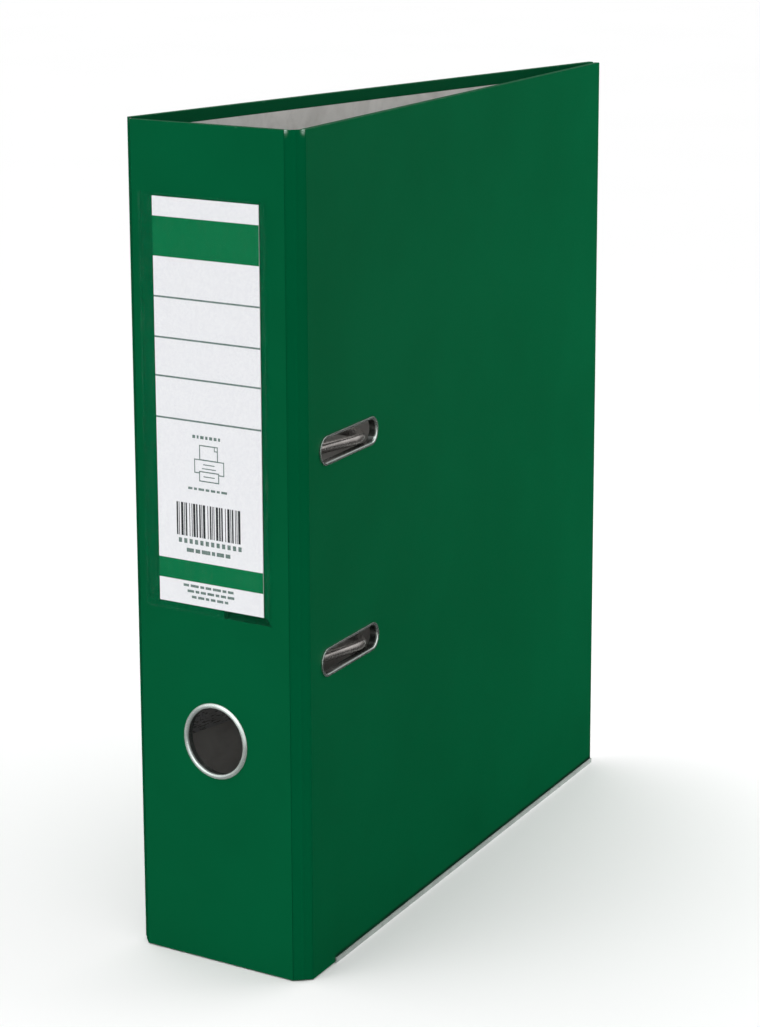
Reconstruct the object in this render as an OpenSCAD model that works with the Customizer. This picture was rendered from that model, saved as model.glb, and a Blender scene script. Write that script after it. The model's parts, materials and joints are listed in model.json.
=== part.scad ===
// Lever arch file for punched paper sheets, stored standing and closed.
// Millimetres. X runs across the thickness, Y from the spine to the fore edges, Z up.
// The back cover, at -X, carries the mechanism. The front cover, at +X, closes over its arches.

/* [File] */
// Height of the covers and the spine
file_h = 318; // [280:1:340]
// Outside width of the spine
spine_w = 80; // [60:1:90]
// Length of each cover, from its hinge strip to its fore edge
cover_l = 285; // [240:1:300]
// Angle of the front cover from straight back when closed, in degrees
front_lean = 9.0; // [5:0.1:12]
// Angle of the back cover from straight back when closed, in degrees
back_lean = 5.8; // [3:0.1:9]
// Width and depth of the slanted hinge strips
strip = 5.5; // [4:0.1:8]

/* [Boards and skins] */
// Thickness of the greyboard
board_t = 1.9; // [1:0.1:3]
// Thickness of the foil outside
foil_t = 0.25; // [0.15:0.05:0.5]
// Thickness of the paper lining inside
lining_t = 0.25; // [0.15:0.05:0.5]
// Width of the foil that shows inside, round the lining
turn_in = 4.6; // [3:0.1:15]
// Thickness of a hinge strip
strip_t = 0.6; // [0.4:0.1:1]
// Radius of the pressed crease on a hinge line
crease_r = 0.5; // [0.3:0.05:1]

/* [Finger ring] */
// Height of the finger hole's centre
ring_z = 88.2; // [60:0.1:120]
// Radius of the finger hole
ring_hole_r = 12.9; // [9:0.1:15]
// Outer radius of the rolled rim
ring_rim_r = 14.7; // [12:0.1:18]

/* [Cover slots] */
// Height of the middle between the two slots
slot_z = 160.5; // [140:0.5:180]
// Distance between the two slots and between the two arches
pitch = 80; // [80:1:80]
// Distance of the slots' centres from the front hinge strip
slot_y = 33; // [30:0.5:45]
// Length of a slot's rim
slot_rim_l = 48.8; // [45:0.1:60]
// Width of a slot's rim
slot_rim_w = 10.7; // [9:0.1:14]
// Width of the metal ring round a slot
slot_band = 0.9; // [0.8:0.1:2]

/* [Edge rails] */
// Thickness of the rail's metal
rail_t = 0.4; // [0.3:0.05:0.8]
// Height of the rail's sides
rail_h = 1.6; // [1.5:0.1:6]
// Distance from the hinge strip to the start of a rail
rail_y = 18.5; // [10:0.5:40]

/* [Label] */
// Width of the label card
card_w = 48; // [40:0.5:60]
// Height of the label card
card_h = 151.5; // [120:0.5:200]
// Height of the label card's lower edge
card_z = 139.8; // [120:0.1:150]
// Middle of the label card, from the spine's middle
card_x = -0.6; // [-5:0.1:5]
// Thickness of the label card
card_t = 0.3; // [0.2:0.05:0.5]
// Free space on each side of the card in its pocket
card_gap = 0.2; // [0.1:0.05:0.4]
// Thickness of the pocket's clear film
film_t = 0.25; // [0.15:0.05:0.5]
// Left edge of the pocket
pocket_x0 = -31; // [-36:0.5:-28]
// Right edge of the pocket
pocket_x1 = 26.6; // [25:0.1:34]

/* [Base plate] */
// Height of the middle between the two arches
mech_z = 158.3; // [140:0.1:180]
// Length of the base plate
plate_l = 162; // [120:1:200]
// Distance of the plate's near edge from the back hinge strip
plate_y0 = 11; // [8:1:16]
// Width of the base plate
plate_w = 59; // [50:1:80]
// Thickness of the base plate
plate_t = 1.0; // [0.8:0.1:1.5]
// Thickness of the upright lugs
lug_t = 1.6; // [1:0.1:2]

/* [Arches] */
// Radius of the arch wire
wire_r = 2.0; // [1.5:0.1:2.5]
// Distance of the posts from the back hinge strip
post_y = 60.5; // [50:0.5:75]
// Distance between an arch's two legs
arch_w = 40; // [36:1:50]
// Radius of an arch's two top bends
arch_bend = 12; // [6:0.5:20]
// Height of the bends' centres above the lining
arch_h = 51.4; // [40:0.1:60]
// Height of the arch wire's turning axis above the lining
axis_h = 7; // [6:0.1:10]
// Distance of the crank from the turning axis
crank = 11; // [8:0.5:14]
// Bend radius of the wire at its feet and crank
foot_bend = 4; // [3:0.5:6]
// Clearance between the wire and its bearing lugs
run_gap = 0.06; // [0.01:0.01:0.1]

/* [Posts] */
// Radius of a post
post_r = 2.3; // [2:0.1:3]
// Height where a post's cone begins
post_h = 42.6; // [35:0.1:50]

/* [Lever] */
// Distance of the lever's pin from the back hinge strip
lever_y = 44; // [40:0.5:50]
// Height of the lever's pin above the lining
lever_h = 17; // [14:0.5:22]
// Radius of the lever's pin
lever_pin_r = 2.0; // [1.5:0.1:3]
// Outside width of the lever's channel
lever_w = 14; // [10:0.5:18]
// Thickness of the lever's steel
lever_t = 1.4; // [1:0.1:2]
// Radius of the roller
roller_r = 4; // [3:0.1:5]
// Distance of the roller's pin from the back hinge strip
roller_y = 32; // [28:0.1:36]
// Height of the roller's pin above the lining
roller_h = 13.4; // [12:0.1:18]

/* [Compressor] */
// Height of the compressor bar's underside above the lining
bar_h = 2.6; // [2.3:0.1:40]
// Length of the compressor bar
bar_l = 112; // [96:1:130]
// Width of the compressor bar
bar_w = 12; // [10:0.5:16]
// Thickness of the compressor bar
bar_t = 1.0; // [0.8:0.1:1.5]

/* [Hidden] */
eps = 0.01;
fit_gap = 0.03;
cover_t = foil_t + board_t + lining_t;
file_z0 = rail_t;
file_z1 = rail_t + file_h;
file_d = strip + cover_l * cos(back_lean);
hinge_in = strip * 0.545;
slot_end = slot_rim_w / 2;
slot_hs = slot_rim_l / 2 - slot_end;
slot_r = slot_end - slot_band;
slot_cut_r = slot_r + 0.45;
axis_y = post_y - arch_w;
lug_in = 8;
bearing_z = 30;
rivet_r = 1.95;
rivet_hole_r = 2.0;
rivet_y0 = plate_y0 + 7;
rivet_y1 = plate_y0 + plate_w - 6;
rivet_z = 70;
bar_y0 = post_y - bar_w / 2;
catch_z = 48;
catch_h = bar_h + 4.6;
$fn = 48;

// ---- placing ----

// spine frame: y = 0 is the spine's outer face
module on_spine() {
  translate([0, -file_d / 2, 0]) children();
}

// cover frames: x = 0 is the cover's outer face and +x points into the file
module on_back() {
  on_spine() translate([-spine_w / 2, strip, 0]) rotate([0, 0, -back_lean]) children();
}

module on_front() {
  on_spine() translate([spine_w / 2, strip, 0]) rotate([0, 0, front_lean]) mirror([1, 0, 0]) children();
}

// mechanism frame: x is the height above the lining and z = 0 is the middle between the arches
module on_plate() {
  on_back() translate([cover_t, 0, mech_z]) children();
}

// a bar along y and z with its long ends rounded, pushed along x
module rounded_sheet(t, w, l, r) {
  translate([0, w / 2, 0]) rotate([0, 90, 0]) linear_extrude(t) union() {
    square([l - 2 * r, w], center = true);
    square([l, w - 2 * r], center = true);
    for (i = [-1, 1]) for (j = [-1, 1]) translate([i * (l / 2 - r), j * (w / 2 - r)]) circle(r);
  }
}

// ---- covers ----

module cover_cut(r, t) {
  // the slotted hole through a front cover layer, r wide on each side of its centre line
  for (s = [-1, 1]) translate([0, slot_y, slot_z + s * pitch / 2]) stadium_solid(r, t);
}

module stadium_solid(r, t) {
  translate([-1, 0, 0]) rotate([0, 90, 0]) linear_extrude(t + 2) union() {
    square([2 * r, 2 * slot_hs], center = true);
    for (e = [-1, 1]) translate([0, e * slot_hs]) circle(r);
  }
}

module rivet_holes(t) {
  for (y = [rivet_y0, rivet_y1]) for (s = [-1, 1])
    translate([-1, y, mech_z + s * rivet_z]) rotate([0, 90, 0]) cylinder(h = t + 2, r = rivet_hole_r);
}

module board_slab() {
  translate([foil_t, 0, file_z0 + foil_t]) cube([board_t, cover_l - foil_t, file_h - 2 * foil_t]);
}

module foil_shell() {
  difference() {
    translate([0, 0, file_z0]) cube([cover_t, cover_l, file_h]);
    translate([foil_t, -1, file_z0 + foil_t]) cube([board_t, cover_l - foil_t + 1, file_h - 2 * foil_t]);
    translate([foil_t, -1, file_z0 + turn_in])
      cube([cover_t, cover_l - turn_in + 1, file_h - 2 * turn_in]);
  }
}

module lining_sheet() {
  translate([cover_t - lining_t, 0, file_z0 + turn_in])
    cube([lining_t, cover_l - turn_in, file_h - 2 * turn_in]);
}

// folded rail over a cover's bottom edge, with teeth at its spine end and small notches behind them
module edge_rail() {
  rail_len = cover_l + rail_t - rail_y;
  translate([0, rail_y, 0]) difference() {
    translate([-rail_t, 0, 0]) cube([cover_t + 2 * rail_t, rail_len, rail_h + rail_t]);
    translate([0, -1, file_z0]) cube([cover_t, cover_l - rail_y + 1, rail_h + 1]);
    for (i = [0:1]) translate([-rail_t - 1, 0, file_z0 + 0.2 + i * 0.7]) rotate([90, 0, 90])
      linear_extrude(cover_t + 2 * rail_t + 2) polygon([[-eps, -0.02], [1.1, 0.33], [-eps, 0.68]]);
    for (i = [0:7]) translate([-rail_t - 1, 1.4 + i * 1.3, rail_h + rail_t]) rotate([90, 0, 90])
      linear_extrude(cover_t + 2 * rail_t + 2) polygon([[0, eps], [0.35, -0.8], [0.7, eps]]);
  }
}

module back_board() {
  color([0.55, 0.53, 0.50]) on_back() difference() {
    board_slab();
    rivet_holes(cover_t);
  }
}

module back_cover_foil() {
  color([0.0, 0.27, 0.15]) on_back() difference() {
    foil_shell();
    rivet_holes(cover_t);
  }
}

module back_lining() {
  color([0.62, 0.61, 0.59]) on_back() difference() {
    lining_sheet();
    rivet_holes(cover_t);
  }
}

module back_edge_rail() {
  color([0.75, 0.75, 0.76]) on_back() edge_rail();
}

module front_board() {
  color([0.55, 0.53, 0.50]) on_front() difference() {
    board_slab();
    cover_cut(slot_cut_r, cover_t);
  }
}

module front_cover_foil() {
  color([0.0, 0.27, 0.15]) on_front() difference() {
    foil_shell();
    cover_cut(slot_cut_r, cover_t);
  }
}

module front_lining() {
  color([0.62, 0.61, 0.59]) on_front() difference() {
    lining_sheet();
    cover_cut(slot_cut_r, cover_t);
  }
}

module front_edge_rail() {
  color([0.75, 0.75, 0.76]) on_front() edge_rail();
}

// rolled bead outside, wall through the cover and flat flange inside
module rim_profile() {
  polygon([[slot_r, -0.35], [slot_r + 0.25, -0.6], [slot_r + 0.65, -0.7], [slot_r + 1.05, -0.6],
    [slot_end, -0.3], [slot_end, 0], [slot_r + 0.4, 0], [slot_r + 0.4, cover_t],
    [slot_end + 0.2, cover_t], [slot_end + 0.2, cover_t + 0.35], [slot_r + 0.2, cover_t + 0.45],
    [slot_r, cover_t + 0.25]]);
}

module slot_rim(s) {
  color([0.80, 0.80, 0.81]) on_front() translate([0, slot_y, slot_z + s * pitch / 2])
    rotate([0, 90, 0]) union() {
      translate([0, slot_hs, 0]) rotate_extrude(angle = 180) rim_profile();
      translate([0, -slot_hs, 0]) rotate([0, 0, 180]) rotate_extrude(angle = 180) rim_profile();
      translate([0, slot_hs, 0]) rotate([90, 0, 0]) linear_extrude(2 * slot_hs) rim_profile();
      translate([0, -slot_hs, 0]) rotate([90, 0, 180]) linear_extrude(2 * slot_hs) rim_profile();
    }
}

module slot_rim_upper() {
  slot_rim(1);
}

module slot_rim_lower() {
  slot_rim(-1);
}

// ---- spine ----

module spine_slab(y0, t, z0, z1) {
  translate([-spine_w / 2 + strip, y0, z0]) cube([spine_w - 2 * strip, t, z1 - z0]);
}

module ring_hole() {
  translate([0, -1, ring_z]) rotate([-90, 0, 0]) cylinder(h = cover_t + 2, r = ring_hole_r + 0.55);
}

module spine_board() {
  color([0.55, 0.53, 0.50]) on_spine() difference() {
    spine_slab(foil_t, board_t, file_z0 + foil_t, file_z1 - foil_t);
    ring_hole();
  }
}

module spine_foil() {
  color([0.0, 0.27, 0.15]) on_spine() difference() {
    spine_slab(0, cover_t, file_z0, file_z1);
    spine_cavity();
    ring_hole();
  }
}

module spine_cavity() {
  translate([-spine_w, foil_t, file_z0 + foil_t]) cube([2 * spine_w, board_t, file_h - 2 * foil_t]);
  translate([-spine_w, foil_t, file_z0 + turn_in]) cube([2 * spine_w, cover_t, file_h - 2 * turn_in]);
}

module spine_lining() {
  color([0.62, 0.61, 0.59]) on_spine() difference() {
    spine_slab(cover_t - lining_t, lining_t, file_z0 + turn_in, file_z1 - turn_in);
    ring_hole();
  }
}

module finger_ring() {
  r0 = ring_hole_r;
  r1 = ring_rim_r;
  color([0.80, 0.80, 0.81]) on_spine() translate([0, 0, ring_z]) rotate([-90, 0, 0])
    rotate_extrude($fn = 96) polygon([[r0, -0.5], [r0 + 0.3, -0.85], [r0 + 0.7, -1.0], [r1 - 0.8, -0.95],
      [r1 - 0.25, -0.6], [r1, -0.2], [r1, 0], [r0 + 0.5, 0], [r0 + 0.5, cover_t],
      [r1 - 0.5, cover_t], [r1 - 0.5, cover_t + 0.3], [r0 + 0.3, cover_t + 0.45], [r0, cover_t + 0.2]]);
}

// clear pocket: film welded to the foil on both sides and below, open at the top
module label_pocket() {
  depth = 2 * card_gap + card_t;
  z0 = card_z - 3.2;
  z1 = card_z + card_h + 1.2;
  color([0.85, 0.88, 0.88, 0.35]) on_spine() difference() {
    translate([pocket_x0, -depth - film_t, z0]) cube([pocket_x1 - pocket_x0, depth + film_t, z1 - z0]);
    translate([pocket_x0 + 1.6, -depth, card_z - 0.25])
      cube([pocket_x1 - pocket_x0 - 3.2, depth + 1, card_h + 10]);
  }
}

module label_card() {
  color([0.92, 0.92, 0.92]) on_spine() translate([card_x - card_w / 2, -card_gap - card_t, card_z])
    cube([card_w, card_t, card_h]);
}

// hinge strip from the spine's edge to the cover's edge, with its crease on the hinge line
module strip_section() {
  edge = spine_w / 2 - strip;
  linear_extrude(file_h) polygon([[edge, 0], [spine_w / 2 - 0.2, strip - 0.2],
    [spine_w / 2 - 0.9, strip - 0.3], [edge, 1.414 * strip_t]]);
  translate([spine_w / 2 - hinge_in, hinge_in, 0]) cylinder(h = file_h, r = crease_r);
}

module front_hinge_strip() {
  color([0.0, 0.24, 0.13]) on_spine() translate([0, 0, file_z0]) union() strip_section();
}

module back_hinge_strip() {
  color([0.0, 0.24, 0.13]) on_spine() translate([0, 0, file_z0]) mirror([1, 0, 0]) union() strip_section();
}

// ---- mechanism base ----

// upright lug of width w across z, rounded over its hole at distance y and height h
module lug(z, y, h, w, hole_r) {
  translate([0, y, z - lug_t / 2]) difference() {
    union() {
      translate([0, -w / 2, 0]) cube([h, w, lug_t]);
      translate([h, 0, 0]) cylinder(h = lug_t, r = w / 2);
      translate([0, -w / 2 - 1.5, 0]) cube([plate_t + 1.2, w + 3, lug_t]);
    }
    translate([h, 0, -1]) cylinder(h = lug_t + 2, r = hole_r);
  }
}

module base_plate() {
  color([0.74, 0.75, 0.76]) on_plate() difference() {
    union() {
      translate([0, plate_y0, 0]) rounded_sheet(plate_t, plate_w, plate_l, 9);
      for (y = [plate_y0 + 19, plate_y0 + plate_w - 18]) for (s = [-1, 1])
        translate([plate_t - 0.3, y, s * 59]) rounded_sheet(0.9, 4, 34, 1.9);
      for (s = [-1, 1]) lug(s * bearing_z, axis_y, axis_h, 9, wire_r + run_gap);
      for (s = [-1, 1]) lug(s * (lug_in + lug_t / 2), lever_y, lever_h, 10, lever_pin_r + fit_gap);
      translate([plate_t - eps, lever_y + 1, -lug_in]) cube([3, lug_t, 2 * lug_in]);
    }
    for (y = [rivet_y0, rivet_y1]) for (s = [-1, 1])
      translate([-1, y, s * rivet_z]) rotate([0, 90, 0]) cylinder(h = plate_t + 2, r = rivet_hole_r);
    for (s = [-1, 1]) translate([-1, post_y, s * pitch / 2]) rotate([0, 90, 0])
      cylinder(h = plate_t + 2, r = post_r + fit_gap);
    for (s = [-1, 1]) translate([-1, axis_y - 6, s * (bearing_z + 7) - 4]) cube([plate_t + 2, 12, 8]);
    translate([-1, axis_y + 5, -13]) cube([plate_t + 2, 13, 26]);
  }
}

module post(s) {
  color([0.82, 0.82, 0.83]) on_plate() translate([0, post_y, s * pitch / 2]) rotate([0, 90, 0])
    rotate_extrude() polygon([[0, 0], [post_r, 0], [post_r, plate_t], [4.6, plate_t],
      [4.6, plate_t + 0.7], [post_r + 0.6, plate_t + 1.0], [post_r, plate_t + 1.0],
      [post_r, post_h], [0.8, post_h + 1], [0, post_h + 1]]);
}

module post_upper() {
  post(1);
}

module post_lower() {
  post(-1);
}

// four rivets through the plate and the back cover, domed outside and flat inside
module plate_rivets() {
  color([0.78, 0.78, 0.79]) for (y = [rivet_y0, rivet_y1]) for (s = [-1, 1])
    on_plate() translate([0, y, s * rivet_z]) rotate([0, 90, 0]) rotate_extrude()
      polygon([[0, -cover_t - 1.1], [1.6, -cover_t - 1.0], [3.4, -cover_t - 0.6], [4.5, -cover_t],
        [rivet_r, -cover_t], [rivet_r, plate_t], [3.4, plate_t], [3.1, plate_t + 0.7],
        [1.2, plate_t + 0.9], [0, plate_t + 0.9]]);
}

module lever_pin() {
  half = lug_in + lug_t;
  color([0.70, 0.70, 0.72]) on_plate() translate([lever_h, lever_y, -half]) union() {
    cylinder(h = 2 * half, r = lever_pin_r);
    translate([0, 0, -1]) cylinder(h = 1, r = 3.2);
    translate([0, 0, 2 * half]) cylinder(h = 1, r = 3.2);
  }
}

// close-wound torsion spring on the wire, one leg on the plate and one leg under the crank
module arch_spring() {
  turns = 9;
  wind = 1.1;
  r_in = wire_r + 0.4;
  color([0.60, 0.60, 0.62]) on_plate() translate([axis_h, axis_y, 18]) union() {
    rotate_extrude() polygon(concat([[r_in, 0]],
      [for (i = [0:turns - 1]) each [[r_in + 0.55, i * wind], [r_in + 1.0, (i + 0.5) * wind]]],
      [[r_in + 0.55, turns * wind], [r_in, turns * wind]]));
    translate([-5.5, -r_in - 0.4, turns * wind - 0.6]) rotate([0, 90, 0]) cylinder(h = 5.5, r = 0.45);
    translate([-r_in - 0.3, 0, 0.5]) rotate([-90, 0, 0]) cylinder(h = 8.2, r = 0.45);
  }
}

// ---- arch wire ----

// a quarter bend of the wire in the x-z plane round (cx, cz), from angle a0 on, mirrored below z = 0
module foot_turn(cx, cz, a0, s) {
  translate([cx, 0, s * cz]) rotate([90, 0, 0]) rotate([0, 0, s > 0 ? a0 : -a0 - 90])
    rotate_extrude(angle = 90) translate([foot_bend, 0]) circle(wire_r);
}

module wire_z(z0, z1) {
  translate([0, 0, z0]) cylinder(h = z1 - z0, r = wire_r);
}

// one arch: leg up from the axis, over the paper, and down to its post
module arch_loop() {
  leg0 = foot_bend;
  top = arch_h - axis_h;
  tip = post_h + 0.6 - axis_h;
  translate([leg0, 0, 0]) rotate([0, 90, 0]) cylinder(h = top - leg0, r = wire_r);
  translate([top, arch_bend, 0]) rotate([0, 0, 270]) rotate_extrude(angle = 90)
    translate([arch_bend, 0]) circle(wire_r);
  translate([top + arch_bend, arch_bend, 0]) rotate([-90, 0, 0])
    cylinder(h = arch_w - 2 * arch_bend, r = wire_r);
  translate([top, arch_w - arch_bend, 0]) rotate_extrude(angle = 90)
    translate([arch_bend, 0]) circle(wire_r);
  difference() {
    translate([tip, arch_w, 0]) rotate([0, 90, 0]) cylinder(h = top - tip, r = wire_r);
    translate([tip, arch_w, 0]) rotate([0, 90, 0])
      rotate_extrude() polygon([[0, -0.5], [1.8, -0.5], [1.8, 0], [0.3, 1.0], [0, 1.0]]);
  }
}

// the wire from the crank pin's end to one arch, above (s = 1) or below (s = -1) the middle
module half_wire(s) {
  web_z = 13;
  foot = pitch / 2;
  translate([0, 0, s * foot]) arch_loop();
  foot_turn(foot_bend, foot - foot_bend, 90, s);
  wire_z(s > 0 ? web_z + foot_bend : -foot + foot_bend, s > 0 ? foot - foot_bend : -web_z - foot_bend);
  rotate([0, 0, 90]) {
    foot_turn(foot_bend, web_z + foot_bend, 180, s);
    translate([foot_bend, 0, s * web_z]) rotate([0, 90, 0]) cylinder(h = crank - 2 * foot_bend, r = wire_r);
    foot_turn(crank - foot_bend, web_z - foot_bend, 0, s);
  }
}

module arch_wire() {
  pin_half = 13 - foot_bend;
  color([0.80, 0.80, 0.82]) on_plate() translate([axis_h, axis_y, 0]) union() {
    half_wire(1);
    half_wire(-1);
    rotate([0, 0, 90]) translate([crank, 0, 0])
      wire_z(-pin_half, pin_half);
  }
}

// ---- lever ----

module cheek_outline() {
  // x is the height and y the distance from the hinge strip
  union() {
    translate([lever_h, lever_y]) circle(5);
    translate([roller_h, roller_y]) circle(3.2);
    polygon([[lever_h + 5, lever_y], [lever_h - 4.8, lever_y - 1.4], [roller_h - 3.1, roller_y + 0.8],
      [roller_h - 3.1, roller_y - 1.2], [lever_h - 1.5, roller_y - 8], [lever_h - 0.5, 8],
      [lever_h + 2.2, 8], [lever_h + 5, roller_y - 8]]);
  }
}

module lever_arm() {
  half = lever_w / 2;
  color([0.78, 0.79, 0.80]) on_plate() difference() {
    union() {
      for (z = [-half, half - lever_t]) translate([0, 0, z]) linear_extrude(lever_t) cheek_outline();
      translate([0, 0, -half + lever_t - eps]) linear_extrude(lever_w - 2 * lever_t + 2 * eps)
        polygon([[lever_h + 5, roller_y + 6], [lever_h + 3.6, roller_y + 6], [lever_h + 3.6, roller_y - 8],
          [lever_h + 0.8, 8], [lever_h + 2.2, 8], [lever_h + 5, roller_y - 8]]);
      translate([0, 0, -11]) linear_extrude(22)
        polygon([[lever_h + 0.8, 9], [lever_h + 2.2, 9], [lever_h + 2.6, 5.2], [lever_h + 4.2, 3.2],
          [lever_h + 6.2, 2.4], [lever_h + 6.0, 1.0], [lever_h + 3.5, 1.9], [lever_h + 1.4, 4.2]]);
    }
    translate([lever_h, lever_y, -half - 1]) cylinder(h = lever_w + 2, r = lever_pin_r + run_gap);
    translate([roller_h, roller_y, -half - 1]) cylinder(h = lever_w + 2, r = 1.5);
  }
}

module roller_pin() {
  half = lever_w / 2;
  color([0.70, 0.70, 0.72]) on_plate() translate([roller_h, roller_y, -half]) union() {
    cylinder(h = lever_w, r = 1.5);
    translate([0, 0, -0.6]) cylinder(h = 0.6, r = 2.4);
    translate([0, 0, lever_w]) cylinder(h = 0.6, r = 2.4);
  }
}

module roller() {
  half = lever_w / 2 - lever_t - 0.3;
  color([0.88, 0.88, 0.85]) on_plate() translate([roller_h, roller_y, 0]) rotate_extrude()
    polygon([[1.5 + run_gap, -half], [roller_r - 0.5, -half], [roller_r, -half + 0.5],
      [roller_r, half - 0.5], [roller_r - 0.5, half], [1.5 + run_gap, half]]);
}

// ---- compressor ----

module compressor_bar() {
  color([0.76, 0.77, 0.78]) on_plate() difference() {
    union() {
      translate([bar_h, bar_y0, 0]) rounded_sheet(bar_t, bar_w, bar_l, bar_w / 2 - 0.5);
      for (y = [bar_y0, bar_y0 + bar_w - bar_t]) translate([bar_h, y, -31]) cube([4, bar_t, 62]);
      for (y = [post_y - 4.4, post_y + 3.4]) translate([bar_h, y, 45.5]) cube([6.6, 1.0, 5]);
    }
    for (s = [-1, 1]) translate([bar_h - 1, post_y, s * pitch / 2]) rotate([0, 90, 0])
      cylinder(h = bar_t + 2, r = post_r + 0.4);
    translate([catch_h, post_y - 6, catch_z]) rotate([-90, 0, 0]) cylinder(h = 12, r = 1.0);
  }
}

module catch_pin() {
  color([0.70, 0.70, 0.72]) on_plate() translate([catch_h, post_y - 5.2, catch_z])
    rotate([-90, 0, 0]) union() {
    cylinder(h = 10.4, r = 1.0);
    cylinder(h = 0.8, r = 1.8);
    translate([0, 0, 9.6]) cylinder(h = 0.8, r = 1.8);
  }
}

// tilting catch whose jaw grips the upper post, with a thumb tab beyond its pin
module compressor_catch() {
  color([0.72, 0.73, 0.75]) on_plate() difference() {
    union() {
      translate([catch_h, post_y - 3, catch_z]) rotate([-90, 0, 0]) cylinder(h = 6, r = 2.2);
      translate([0, post_y - 3, 0]) rotate([-90, 0, 0]) linear_extrude(6) mirror([0, 1, 0])
        polygon([[bar_h + 3.6, 42.8], [bar_h + 5.4, 42.8], [bar_h + 6.6, 47], [bar_h + 6.6, 49],
          [bar_h + 9.6, 56.5], [bar_h + 8.2, 57.2], [bar_h + 4.6, 50.1], [bar_h + 3.4, 46.4]]);
    }
    translate([catch_h, post_y - 4, catch_z]) rotate([-90, 0, 0]) cylinder(h = 8, r = 1.0 + run_gap);
  }
}

back_board();
back_cover_foil();
back_lining();
back_edge_rail();
base_plate();
post_upper();
post_lower();
plate_rivets();
lever_pin();
arch_spring();
back_hinge_strip();
spine_board();
spine_foil();
spine_lining();
finger_ring();
label_pocket();
label_card();
front_hinge_strip();
front_board();
front_cover_foil();
front_lining();
front_edge_rail();
slot_rim_upper();
slot_rim_lower();
arch_wire();
lever_arm();
roller_pin();
roller();
compressor_bar();
catch_pin();
compressor_catch();
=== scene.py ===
"""Looks of a lever arch file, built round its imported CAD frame. Metres throughout."""
import json
import math

import bpy
from mathutils import Matrix, Vector


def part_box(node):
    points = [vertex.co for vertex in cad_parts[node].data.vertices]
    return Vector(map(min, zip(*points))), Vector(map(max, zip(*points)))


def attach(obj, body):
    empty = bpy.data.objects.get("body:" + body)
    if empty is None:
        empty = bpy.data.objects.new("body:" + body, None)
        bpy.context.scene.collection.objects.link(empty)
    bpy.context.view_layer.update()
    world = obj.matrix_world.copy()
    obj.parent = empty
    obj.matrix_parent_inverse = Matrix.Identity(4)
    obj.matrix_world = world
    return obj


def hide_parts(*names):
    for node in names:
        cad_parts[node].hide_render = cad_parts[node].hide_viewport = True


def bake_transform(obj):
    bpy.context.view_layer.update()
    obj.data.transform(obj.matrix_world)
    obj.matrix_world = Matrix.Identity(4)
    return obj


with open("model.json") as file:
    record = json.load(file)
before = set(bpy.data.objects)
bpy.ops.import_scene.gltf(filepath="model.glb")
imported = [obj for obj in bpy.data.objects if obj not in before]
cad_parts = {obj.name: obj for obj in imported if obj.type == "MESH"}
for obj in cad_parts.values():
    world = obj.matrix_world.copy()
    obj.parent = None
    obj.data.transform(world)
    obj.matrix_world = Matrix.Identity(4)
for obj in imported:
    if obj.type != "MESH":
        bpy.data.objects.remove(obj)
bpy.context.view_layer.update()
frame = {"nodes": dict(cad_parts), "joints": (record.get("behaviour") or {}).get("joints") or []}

MM = 0.001
JOINTS = {j["name"]: j for j in frame["joints"]}

# ---- places, all from the frame ----

FACE_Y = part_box("spine_foil")[0].y            # the spine's outer face
FILE_Z0, FILE_Z1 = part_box("spine_foil")[0].z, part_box("spine_foil")[1].z
HALF_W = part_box("front_cover_foil")[1].x      # half of the closed file's width at the spine
STRIP = HALF_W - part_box("spine_foil")[1].x    # each hinge strip's width across and along
TURN_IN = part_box("back_lining")[0].z - FILE_Z0          # how far the foil is turned in over an edge
SLIDE_AXIS = JOINTS["compressor_slide"]["axis"]
BACK_LEAN = math.atan2(-SLIDE_AXIS[1], SLIDE_AXIS[0])
FRONT_LEAN = math.radians(9.0)
COVER_L = (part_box("front_cover_foil")[1].y - FACE_Y - STRIP) / math.cos(FRONT_LEAN)     # hinge to fore edge


def on_back(x, y, z):
    """A point of the back cover's frame: x into the file from its outer face, y from the hinge strip."""
    c, s = math.cos(BACK_LEAN), math.sin(BACK_LEAN)
    return Vector((-HALF_W + x * c + y * s, FACE_Y + STRIP - x * s + y * c, z))


# ---- materials ----


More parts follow.
